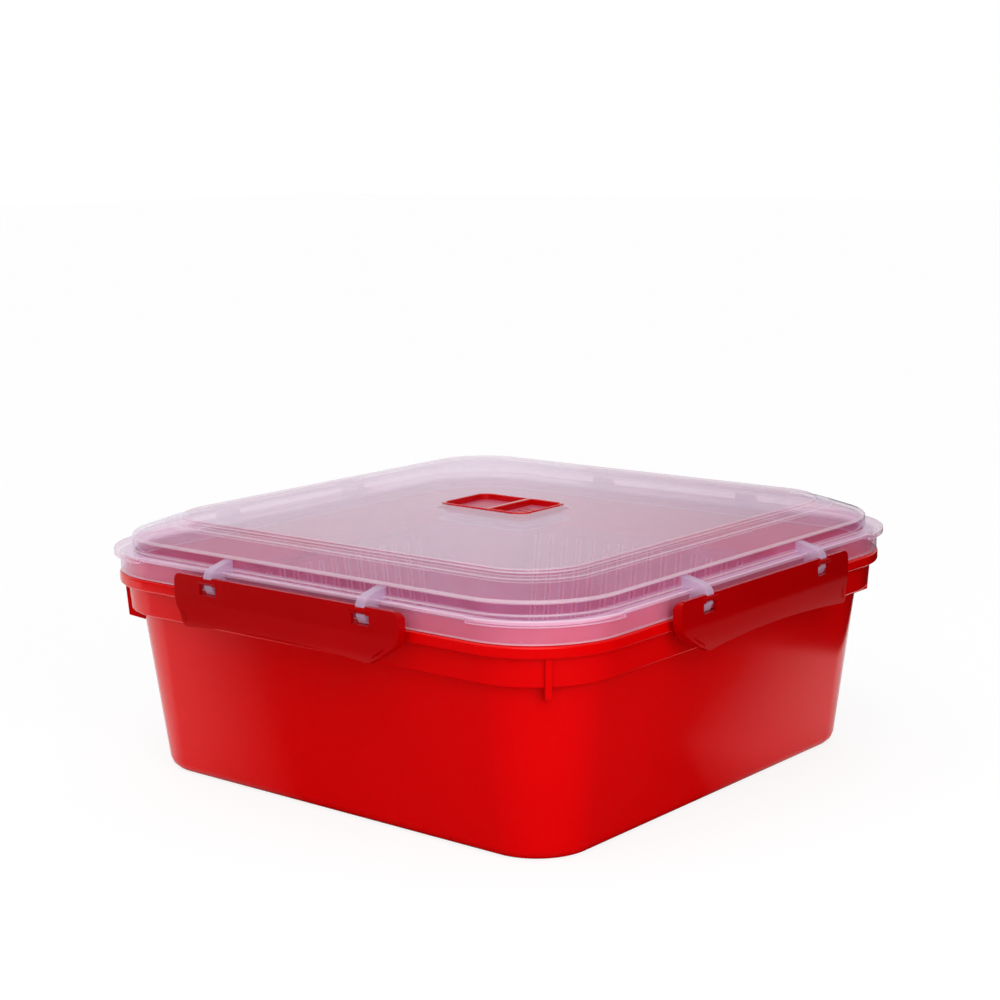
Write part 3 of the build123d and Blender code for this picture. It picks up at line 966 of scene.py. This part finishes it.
@dataclass
class Latch:
    """One side latch: a dished plate with two windows, a flared finger lip, bars and catch."""

    half_width: float = 58.4
    top: float = 91.8
    foot: float = 72.67
    foot_rise: float = 1.8
    bow_half: float = 34.0
    corner_level: float = 80.5
    corner_cut: float = 9.5
    corner_round: float = 3.0
    face: float = 130.0
    thickness: float = 1.8
    edge_round: float = 0.4
    bend_level: float = 84.0
    flare: float = 4.95
    fold_radius: float = 1.9
    return_start: float = 126.1
    shallow_return: float = 2.3
    return_run_top: float = 3.0
    return_run_foot: float = 3.5
    window_half: float = 4.5
    window_top: float = 88.6
    window_bottom: float = 84.8
    window_offset: float = 39.8
    notch_half: float = 2.8
    bar_radius: float = 1.4
    bar_outward: float = 128.8
    bar_level: float = 90.1
    catch_tip: float = 121.8
    catch_top: float = 79.05
    catch_thickness: float = 1.8
    catch_half: float = 52.4
    catch_round: float = 0.3
    flare_steps: int = 10
    foot_steps: int = 6

    def face_at(self, height: float) -> float:
        """Outward distance of the latch's face at a height, both in metres.

        Args:
            height: Height above the table.

        Returns:
            The distance, which grows along an arc below the bend.
        """
        drop = max(0.0, self.bend_level * MM - height)
        depth = (self.bend_level - self.foot) * MM
        flare = self.flare * MM
        radius = (flare**2 + depth**2) / (2 * flare)
        return self.face * MM + radius - math.sqrt(radius**2 - min(drop, depth) ** 2)

    def foot_lift(self, along: float) -> float:
        """How far the bowed foot edge rises at a distance from the middle, in metres."""
        share = min(1.0, abs(along) / ((self.half_width - self.corner_cut) * MM))
        return self.foot_rise * MM * (1 - share**2)

    def return_depth(self, height: float) -> float:
        """Depth of the folded end at a height, both in metres; it runs out at top and foot.

        Args:
            height: Height above the table.

        Returns:
            The depth.
        """
        full = self.face_at(height) / MM - self.return_start
        level = height / MM
        to_top = min(1.0, max(0.0, (self.top - level) / self.return_run_top))
        to_foot = min(1.0, max(0.0, (level - self.foot - 0.5) / self.return_run_foot))
        return (self.shallow_return + (full - self.shallow_return) * to_top * to_foot) * MM

    def outline(self) -> bmesh.types.BMesh:
        """Flat front view of the latch with its windows and notches cut out.

        Returns:
            Its mesh, cut where the plate will bend.
        """
        mesh = bmesh.new()
        foot_half = self.half_width - self.corner_cut
        right = [
            (self.half_width, self.top),
            (self.half_width, self.corner_level),
            (foot_half, self.foot),
        ]
        outline = [(-y, z) for y, z in reversed(right[:2])] + right + [(-foot_half, self.foot)]
        corners = [mesh.verts.new((0, y * MM, z * MM)) for y, z in outline]
        mesh.faces.new(corners)
        for corner in corners:
            bevel(mesh, [corner], self.corner_round * MM, 6, affect="VERTICES")
        for sign in (-1, 1):
            for step in range(self.foot_steps):
                cut(mesh, Y, sign * self.bow_half * step / self.foot_steps)
            for half in (self.window_half, self.notch_half):
                for edge in (-half, half):
                    cut(mesh, Y, sign * (self.window_offset + edge))
        depth = self.bend_level - self.foot
        for step in range(self.flare_steps):
            cut(mesh, Z, self.bend_level - depth * step / self.flare_steps)
        for level in (self.window_top, self.window_bottom):
            cut(mesh, Z, level)
        gone = [face for face in mesh.faces if self._in_window(face.calc_center_median())]
        bmesh.ops.delete(mesh, geom=gone, context="FACES")
        return mesh

    def _in_window(self, point: Vector) -> bool:
        """Whether a point of the plate lies in a window or in the notch above it.

        Args:
            point: Point in metres.

        Returns:
            True where the plate is open.
        """
        half = self.window_half if point.z < self.window_top * MM else self.notch_half
        off = abs(abs(point.y) - self.window_offset * MM)
        return point.z >= self.window_bottom * MM and off < half * MM

    def _is_side_rim(self, edge: bmesh.types.BMEdge) -> bool:
        """Whether an edge of the flat outline lies on an end or on a cut corner.

        Args:
            edge: Edge of the outline.

        Returns:
            True where the plate folds back.
        """
        middle = (edge.verts[0].co + edge.verts[1].co) / 2
        at_end = abs(middle.y) > (self.half_width - self.corner_cut + 0.4) * MM
        return edge.is_boundary and at_end and middle.z < (self.top - 0.3) * MM

    def plate(self) -> bmesh.types.BMesh:
        """Latch plate bent to its flare, folded back along its ends and thickened.

        Returns:
            Its mesh.
        """
        mesh = self.outline()
        rim = [edge for edge in mesh.edges if self._is_side_rim(edge)]
        folded = set(new_verts(bmesh.ops.extrude_edge_only(mesh, edges=rim)["geom"]))
        depth = (self.bend_level - self.foot) * MM
        for vert in mesh.verts:
            low = (vert.co.z - self.foot * MM) / depth
            if low < 1:
                vert.co.z += self.foot_lift(vert.co.y) * (1 - low)
            vert.co.x = self.face_at(vert.co.z)
            if vert in folded:
                vert.co.x -= self.return_depth(vert.co.z)
        folds = [edge for edge in rim if edge.is_valid]
        bevel(mesh, folds, self.fold_radius * MM, 5, clamp=True)
        face_out(mesh)
        if sum(face.normal.x * face.calc_area() for face in mesh.faces) > 0:
            bmesh.ops.reverse_faces(mesh, faces=mesh.faces[:])
        bmesh.ops.solidify(mesh, geom=mesh.faces[:], thickness=-self.thickness * MM)
        for vert in mesh.verts:
            vert.co.z = max(vert.co.z, self.foot * MM + self.foot_lift(vert.co.y))
        face_out(mesh)
        sharp = [edge for edge in mesh.edges if edge.calc_face_angle(0) > math.radians(50)]
        bevel(mesh, sharp, self.edge_round * MM, 3, clamp=True)
        return mesh

    def build(self, side: Side, finishes: Finishes) -> None:
        """Model and dress one latch.

        Args:
            side: Side that it stands on.
            finishes: The shared finishes.
        """
        mesh = self.plate()
        for sign in (-1, 1):
            middle = (self.bar_outward, sign * self.window_offset, self.bar_level)
            add_rod(mesh, middle, self.bar_radius, 2 * self.window_half + 1, 24, tilt=90)
        low = (self.catch_tip, -self.catch_half, self.catch_top - self.catch_thickness)
        high = (self.face - 0.4, self.catch_half, self.catch_top)
        add_box(mesh, low, high, self.catch_round)
        bmesh.ops.transform(mesh, matrix=side.turn, verts=mesh.verts[:])
        # The latches take the darker red, which is painted shade.
        node, look = side.node, [finishes.shaded_clip_red]
        finish_piece(mesh, f"{node}_clip", node, Slot.RED_CLIP, look, node)


@dataclass
class Vent:
    """Red two-compartment vent tray with the silicone plug under it."""

    half_x: float = 22.4
    half_y: float = 14.7
    radius: float = 5.0
    top: float = 106.0
    under: float = 102.3
    under_round: float = 1.3
    recess: float = 2.5
    wall: float = 1.2
    rim_round: float = 0.5
    mouth_round: float = 0.5
    divider_x: float = 3.0
    divider_half: float = 0.8
    pin_x: float = 18.7
    pin_level: float = 104.4
    pin_radius: float = 0.7
    pin_length: float = 1.2
    ridge_count: int = 3
    ridge_pitch: float = 4.0
    ridge_length: float = 9.0
    ridge_width: float = 0.8
    ridge_height: float = 0.25
    ridge_sink: float = 0.1
    plug_x: float = -9.9
    plug_radius: float = 6.0
    plug_height: float = 1.6
    nose_radius: float = 2.5
    nose_length: float = 1.3
    nose_sink: float = 0.1

    def tray(self) -> bmesh.types.BMesh:
        """Rounded tray with two sunk compartments, their floors on material index 1.

        Returns:
            Its mesh.
        """
        first, rim = (
            Outline(*(size * MM for size in (self.half_x, self.half_y, self.radius, *level)))
            for level in ((self.under, self.under_round), (self.top, self.rim_round))
        )
        mesh = RingShell(first, COARSE_SEGMENTS).through([rim]).cap().round_edges(3).mesh
        for edge in (-self.divider_half, self.divider_half):
            cut(mesh, X, self.divider_x + edge)
        wells = []
        for face in mesh.faces:
            middle = face.calc_center_median()
            at_top = abs(face.normal.z) > 0.99 and middle.z > (self.top - 0.05) * MM
            if at_top and abs(middle.x - self.divider_x * MM) > self.divider_half * MM:
                wells.append(face)
        rim_flat = self.wall - self.rim_round
        bmesh.ops.inset_individual(mesh, faces=wells, thickness=rim_flat * MM, depth=0)
        for face in wells:
            floor = bmesh.ops.extrude_discrete_faces(mesh, faces=[face])["faces"][0]
            bmesh.ops.translate(mesh, verts=list(floor.verts), vec=(0, 0, -self.recess * MM))
            floor.material_index = 1
        mouth = [
            edge
            for edge in mesh.edges
            if all(abs(vert.co.z - self.top * MM) < 0.01 * MM for vert in edge.verts)
            and edge.calc_face_angle(0) > math.radians(60)
        ]
        bevel(mesh, mouth, self.mouth_round * MM, 3, material=0, clamp=True)
        return mesh

    def ridges(self, mesh: bmesh.types.BMesh) -> None:
        """Lay plain ridges on the floor of the right-hand compartment.

        Args:
            mesh: The tray.
        """
        middle = (self.divider_x + self.half_x) / 2
        length, width = self.ridge_length / 2, self.ridge_width / 2
        floor = self.top - self.recess
        for place in spread(self.ridge_count, self.ridge_pitch):
            low = (middle - length, place - width, floor - self.ridge_sink)
            high = (middle + length, place + width, floor + self.ridge_height)
            add_box(mesh, low, high, 0.1)

    def build(self, finishes: Finishes) -> None:
        """Model and dress the vent and its plug.

        Args:
            finishes: The shared finishes.
        """
        mesh = self.tray()
        self.ridges(mesh)
        for sign in (-1, 1):
            middle = (self.pin_x, sign * self.half_y, self.pin_level)
            add_rod(mesh, middle, self.pin_radius, 2 * self.pin_length, 20, tilt=90)
        face_out(mesh)
        body, looks = Body.VENT.value, [finishes.vent_red, finishes.vent_floor]
        finish_piece(mesh, "vent_tray", body, Slot.RED_CLIP, looks, "vent_flap")
        plug = bmesh.new()
        seat = self.under - self.plug_height
        for radius, low, high in (
            (self.plug_radius, seat, self.under),
            (self.nose_radius, seat - self.nose_length, seat + self.nose_sink),
        ):
            add_rod(plug, (self.plug_x, 0, (low + high) / 2), radius, high - low, 32)
        face_out(plug)
        finish_piece(plug, "vent_seal", body, Slot.SEAL, [finishes.seal], "vent_plug")


@dataclass
class StrainerBasket:
    """Slotted basket hung by its rim on the tub's inner ledge."""

    tub: Tub = field(default_factory=Tub)
    clearance: float = 1.5
    wall: float = 1.6
    floor: float = 16.0
    foot_round: float = 5.0
    rim_bottom: float = 69.8
    rim: Size = (116.4, 31.6)
    slot_pitch: float = 8.2
    slot_width: float = 2.5
    slot_count: int = 18
    slot_top: float = 67.6
    slot_bottom: float = 23.0
    slot_reach: float = 75.0
    wall_start: float = 95.0
    floor_slot_length: float = 34.0
    floor_slot_width: float = 3.0
    floor_slot_pitch: float = 9.6
    floor_slot_columns: int = 19
    floor_slot_rows: int = 4
    floor_row_pitch: float = 44.0

    def __post_init__(self) -> None:
        """Work out the middles of the wall slots, and of the floor's columns and rows."""
        self.slots = spread(self.slot_count, self.slot_pitch)
        self.columns = spread(self.floor_slot_columns, self.floor_slot_pitch)
        self.rows = spread(self.floor_slot_rows, self.floor_row_pitch)

    def outline(self, height: float, edge: float = 0.0) -> Outline:
        """Outline of the basket wall at a height, in millimetres."""
        return self.tub.leaning(height, self.tub.wall + self.clearance, edge)

    def _is_slot(self, centre: Vector) -> bool:
        """Whether a face centre lies in a wall slot or a floor slot.

        Args:
            centre: Centre of the face.

        Returns:
            True where the face is to be cut out.
        """
        x, y, z = (value / MM for value in centre)
        along, across = sorted((x, y), key=abs)
        if z > self.floor + 1.0:
            in_wall = self.slot_bottom < z < self.slot_top and abs(across) >= self.wall_start
            return in_wall and abs(along) <= self.slot_reach and any(
                abs(along - place) < self.slot_width / 2 for place in self.slots
            )
        in_column = any(abs(x - place) < self.floor_slot_width / 2 for place in self.columns)
        in_row = any(abs(y - place) < self.floor_slot_length / 2 for place in self.rows)
        return in_column and in_row

    def _is_slot_side(self, face: bmesh.types.BMFace) -> bool:
        """Whether a face is the cut side of a wall slot.

        Args:
            face: Face of the basket.

        Returns:
            True where it takes the finish of cut edges.
        """
        middle = face.calc_center_median()
        along = 1 if abs(middle.x) > abs(middle.y) else 0
        in_reach = abs(middle[along]) < self.slot_reach * MM
        in_wall = self.slot_bottom < middle.z / MM < self.slot_top and in_reach
        return in_wall and abs(face.normal[along]) > 0.9

    def build(self, finishes: Finishes) -> None:
        """Model and dress the basket, with a finish for the cut sides of its slots.

        Args:
            finishes: The shared finishes.
        """
        shell = RingShell(self.outline(self.floor, self.foot_round), COARSE_SEGMENTS)
        rim = Outline.square(*self.rim, self.rim_bottom)
        mesh = shell.through([self.outline(self.rim_bottom), rim]).round_edges(4).mesh
        for axes, places, width in (
            ((X, Y), self.slots, self.slot_width),
            ((X,), self.columns, self.floor_slot_width),
            ((Y,), self.rows, self.floor_slot_length),
        ):
            for place in places:
                for edge in (-width / 2, width / 2):
                    for axis in axes:
                        cut(mesh, axis, place + edge)
        for level in (self.slot_bottom, self.slot_top):
            cut(mesh, Z, level)
        gone = [face for face in mesh.faces if self._is_slot(face.calc_center_median())]
        bmesh.ops.delete(mesh, geom=gone, context="FACES")
        face_out(mesh)
        bmesh.ops.solidify(mesh, geom=mesh.faces[:], thickness=-self.wall * MM)
        face_out(mesh)
        # The cut sides of the wall slots take the milky edge finish, partly a painted highlight.
        for face in mesh.faces:
            face.material_index = int(self._is_slot_side(face))
        body, looks = Body.BASKET.value, [finishes.basket_clear, finishes.edge_milk_and_highlight]
        finish_piece(mesh, "basket_moulding", body, Slot.BASKET, looks, "strainer_basket")


@dataclass
class Studio:
    """White sweep, soft lamps and the camera at the photograph's angle."""

    camera_place: tuple[float, float, float] = (538.56, -653.98, 257.85)
    camera_right: tuple[float, float, float] = (0.77253, 0.63483, -0.01381)
    camera_up: tuple[float, float, float] = (-0.10073, 0.14399, 0.98444)
    focal_length: float = 74.573
    sensor_width: float = 36.0
    floor_size: float = 12.0
    floor_colour: str = "#FAFAFA"
    floor_whiteness: float = 0.84
    # Dark colour: painted shade of the mirrored floor near the camera, and the dark table beyond
    # the white sheet.
    shade_and_table_colour: str = "#101010"
    shade_start: float = -72.0
    shade_end: float = -12.0
    retreat_start: float = 125.0
    retreat: float = 64.0
    sheet_end: float = 231.0
    sheet_fade: float = 4.0
    daylight: float = 0.72
    flagged: float = 0.12
    flag_side: tuple[float, float, float] = (0.85, 0.53, 0.0)
    backdrop: float = 0.94
    backdrop_side: float = 0.64
    room: float = 0.16

    @property
    def away(self) -> Vector:
        """Level direction from the photograph's camera to the object."""
        return Vector((-self.camera_place[0], -self.camera_place[1], 0.0)).normalized()

    @property
    def rightwards(self) -> Vector:
        """Level direction to the right of the photograph."""
        return self.away.cross(Z)

    def floor(self) -> None:
        """Pale floor that looks white but keeps the object's shadow; glossy walls mirror it with
        painted shade near the camera.
        """
        mesh = bmesh.new()
        bmesh.ops.create_grid(mesh, x_segments=1, y_segments=1, size=self.floor_size / 2)
        data = bpy.data.meshes.new("studio_floor")
        mesh.to_mesh(data)
        mesh.free()
        floor = add_object("studio_floor", data)
        material, tree = new_material("white_sweep")
        paper = add_node(tree, "BsdfDiffuse", {"Color": linear(self.floor_colour)})
        white = add_node(tree, "Emission", {"Color": WHITE, "Strength": 1.0})
        share = add_node(tree, "Math", {
            "operation": "MULTIPLY", 0: self.seen(tree), 1: self.floor_whiteness,
        })
        lit = add_node(tree, "MixShader", {0: share, 1: paper, 2: white})
        dark = add_node(tree, "BsdfDiffuse", {"Color": linear(self.shade_and_table_colour)})
        both = add_node(tree, "MixShader", {0: self.shade_and_table_share(tree), 1: lit, 2: dark})
        add_node(tree, "OutputMaterial", {"Surface": both})
        data.materials.append(material)

    def shade_and_table_share(self, tree: bpy.types.NodeTree) -> bpy.types.NodeSocket:
        """Share of dark colour in what the glossy walls mirror, as they do in the photograph.

        Towards the camera it is painted shade for mirror rays: the mirrored floor falls into shade
        there, from further back the more it lies to the right. Beyond the white sheet's end at the
        right it is the dark table, for every ray but camera and transmission rays.

        Args:
            tree: Node tree of the floor.

        Returns:
            The socket that carries the share.
        """
        coords = add_node(tree, "TexCoord", {}, "Object")
        depth, across = (
            add_node(tree, "VectorMath", {"operation": "DOT_PRODUCT", 0: coords, 1: way}, "Value")
            for way in (self.away, self.rightwards)
        )
        retreat = add_node(tree, "MapRange", {
            "From Min": self.retreat_start * MM, "From Max": self.sheet_end * MM,
            "To Max": self.retreat * MM, "Value": across,
        })
        level = add_node(tree, "Math", {"operation": "SUBTRACT", 0: depth, 1: retreat})
        # Painted shade: the floor that glossy walls mirror darkens towards the camera.
        shade = add_node(tree, "MapRange", {
            "From Min": self.shade_start * MM, "From Max": self.shade_end * MM,
            "To Min": 1.0, "To Max": 0.0, "Value": level,
        })
        beyond = add_node(tree, "MapRange", {
            "From Min": self.sheet_end * MM,
            "From Max": (self.sheet_end + self.sheet_fade) * MM, "Value": across,
        })
        glossy = add_node(tree, "LightPath", {}, "Is Glossy Ray")
        mirrored = add_node(tree, "Math", {"operation": "MULTIPLY", 0: shade, 1: glossy})
        unseen = add_node(tree, "Math", {"operation": "SUBTRACT", 0: 1.0, 1: self.seen(tree)})
        ended = add_node(tree, "Math", {"operation": "MULTIPLY", 0: beyond, 1: unseen})
        return add_node(tree, "Math", {"operation": "MAXIMUM", 0: mirrored, 1: ended})

    def seen(self, tree: bpy.types.NodeTree) -> bpy.types.NodeSocket:
        """One for rays that see the surroundings straight or through the clear plastic.

        Args:
            tree: Node tree to add the test to.

        Returns:
            The socket that carries it.
        """
        camera, through = (
            add_node(tree, "LightPath", {}, ray) for ray in ("Is Camera Ray", "Is Transmission Ray")
        )
        return add_node(tree, "Math", {"operation": "MAXIMUM", 0: camera, 1: through})

    def world(self) -> None:
        """White surroundings that light softly and show white behind the object.

        Glossy rays meet a backdrop and a softbox overhead in a dim room instead, and diffuse
        light is flagged off at the right, as the photograph's shading asks for.
        """
        world = bpy.data.worlds.new("studio_world")
        bpy.context.scene.world = world
        world.use_nodes = True
        tree = world.node_tree
        tree.nodes.clear()
        coords = add_node(tree, "TexCoord", {}, "Object")
        behind, across, flag = (
            add_node(tree, "VectorMath", {"operation": "DOT_PRODUCT", 0: coords, 1: way}, "Value")
            for way in (self.away, self.rightwards, Vector(self.flag_side))
        )
        height = add_node(tree, "SeparateXYZ", {0: coords}, "Z")
        backdrop, softbox, falloff, daylight = (
            add_node(tree, "MapRange", {
                "From Min": start, "From Max": end, "To Min": low, "To Max": high, "Value": value,
            })
            for value, start, end, low, high in (
                (behind, 0.25, 0.55, self.room, self.backdrop),
                (height, 0.55, 0.8, self.room, self.backdrop),
                (across, 0.0, 0.16, 1.0, self.backdrop_side),
                (flag, 0.1, 0.7, self.daylight, self.flagged),
            )
        )
        lit = add_node(tree, "Math", {"operation": "MAXIMUM", 0: backdrop, 1: softbox})
        mirrored = add_node(tree, "Math", {"operation": "MULTIPLY", 0: lit, 1: falloff})
        glossy = add_node(tree, "LightPath", {}, "Is Glossy Ray")
        white = self.seen(tree)
        seen = add_node(tree, "Mix", {"data_type": "FLOAT", 0: white, 2: daylight, 3: 1.0})
        strength = add_node(tree, "Mix", {"data_type": "FLOAT", 0: glossy, 2: seen, 3: mirrored})
        sky = add_node(tree, "Background", {"Color": WHITE, "Strength": strength})
        add_node(tree, "OutputWorld", {"Surface": sky})

    def lamp(
        self, name: str, kind: str, towards: Sequence[float], power: float,
        place: Sequence[float] = (0.0, 0.0, 0.0),
    ) -> bpy.types.Object:
        """Lamp that shines in a direction.

        Args:
            name: Name of the lamp.
            kind: Blender's name of the kind of lamp.
            towards: Direction that the light travels in.
            power: Watts, or watts per square metre for a sun.
            place: Its place in millimetres.

        Returns:
            The lamp.
        """
        data = bpy.data.lights.new(name, kind)
        data.energy = power
        lamp = add_object(name, data)
        turn = Vector(towards).to_track_quat("-Z", "Y").to_matrix().to_4x4()
        lamp.matrix_world = Matrix.Translation(Vector(place) * MM) @ turn
        return lamp

    def lamps(self) -> None:
        """Two very soft suns, and a softbox at the near corner that no glossy wall mirrors."""
        front = self.lamp("front_light", "SUN", (-0.47, 0.58, -0.67), 1.06)
        front.data.angle = math.radians(50)
        top = self.lamp("top_light", "SUN", (0.15, 0.1, -1.0), 0.56)
        top.data.angle = math.radians(70)
        place = Vector((460.0, -255.0, 220.0))
        corner = self.lamp("corner_softbox", "AREA", -place, 1.12, place)
        corner.data.shape = "SQUARE"
        corner.data.size = 250 * MM
        corner.visible_glossy = False

    def camera(self) -> None:
        """Camera at the photograph's place, turn and focal length."""
        right = Vector(self.camera_right).normalized()
        up = (Vector(self.camera_up) - Vector(self.camera_up).project(right)).normalized()
        data = bpy.data.cameras.new("photo_camera")
        data.sensor_width = self.sensor_width
        data.lens = self.focal_length
        data.clip_start = 10 * MM
        camera = add_object("photo_camera", data)
        turn = Matrix((right, up, right.cross(up))).transposed().to_4x4()
        camera.matrix_world = Matrix.Translation(Vector(self.camera_place) * MM) @ turn
        bpy.context.scene.camera = camera

    def build(self) -> None:
        """Set up the whole studio."""
        bpy.context.scene.view_settings.view_transform = "Standard"
        self.camera()
        self.floor()
        self.world()
        self.lamps()


def main() -> None:
    """Build the studio and every piece."""
    logging.basicConfig(level=logging.INFO, format="%(message)s")
    Studio().build()
    finishes = Finishes()
    for part in (Tub(), Lid(), Gasket()):
        part.build(finishes)
    for side in Side:
        Latch().build(side, finishes)
    for part in (Vent(), StrainerBasket()):
        part.build(finishes)


if __name__ == "__main__":
    main()
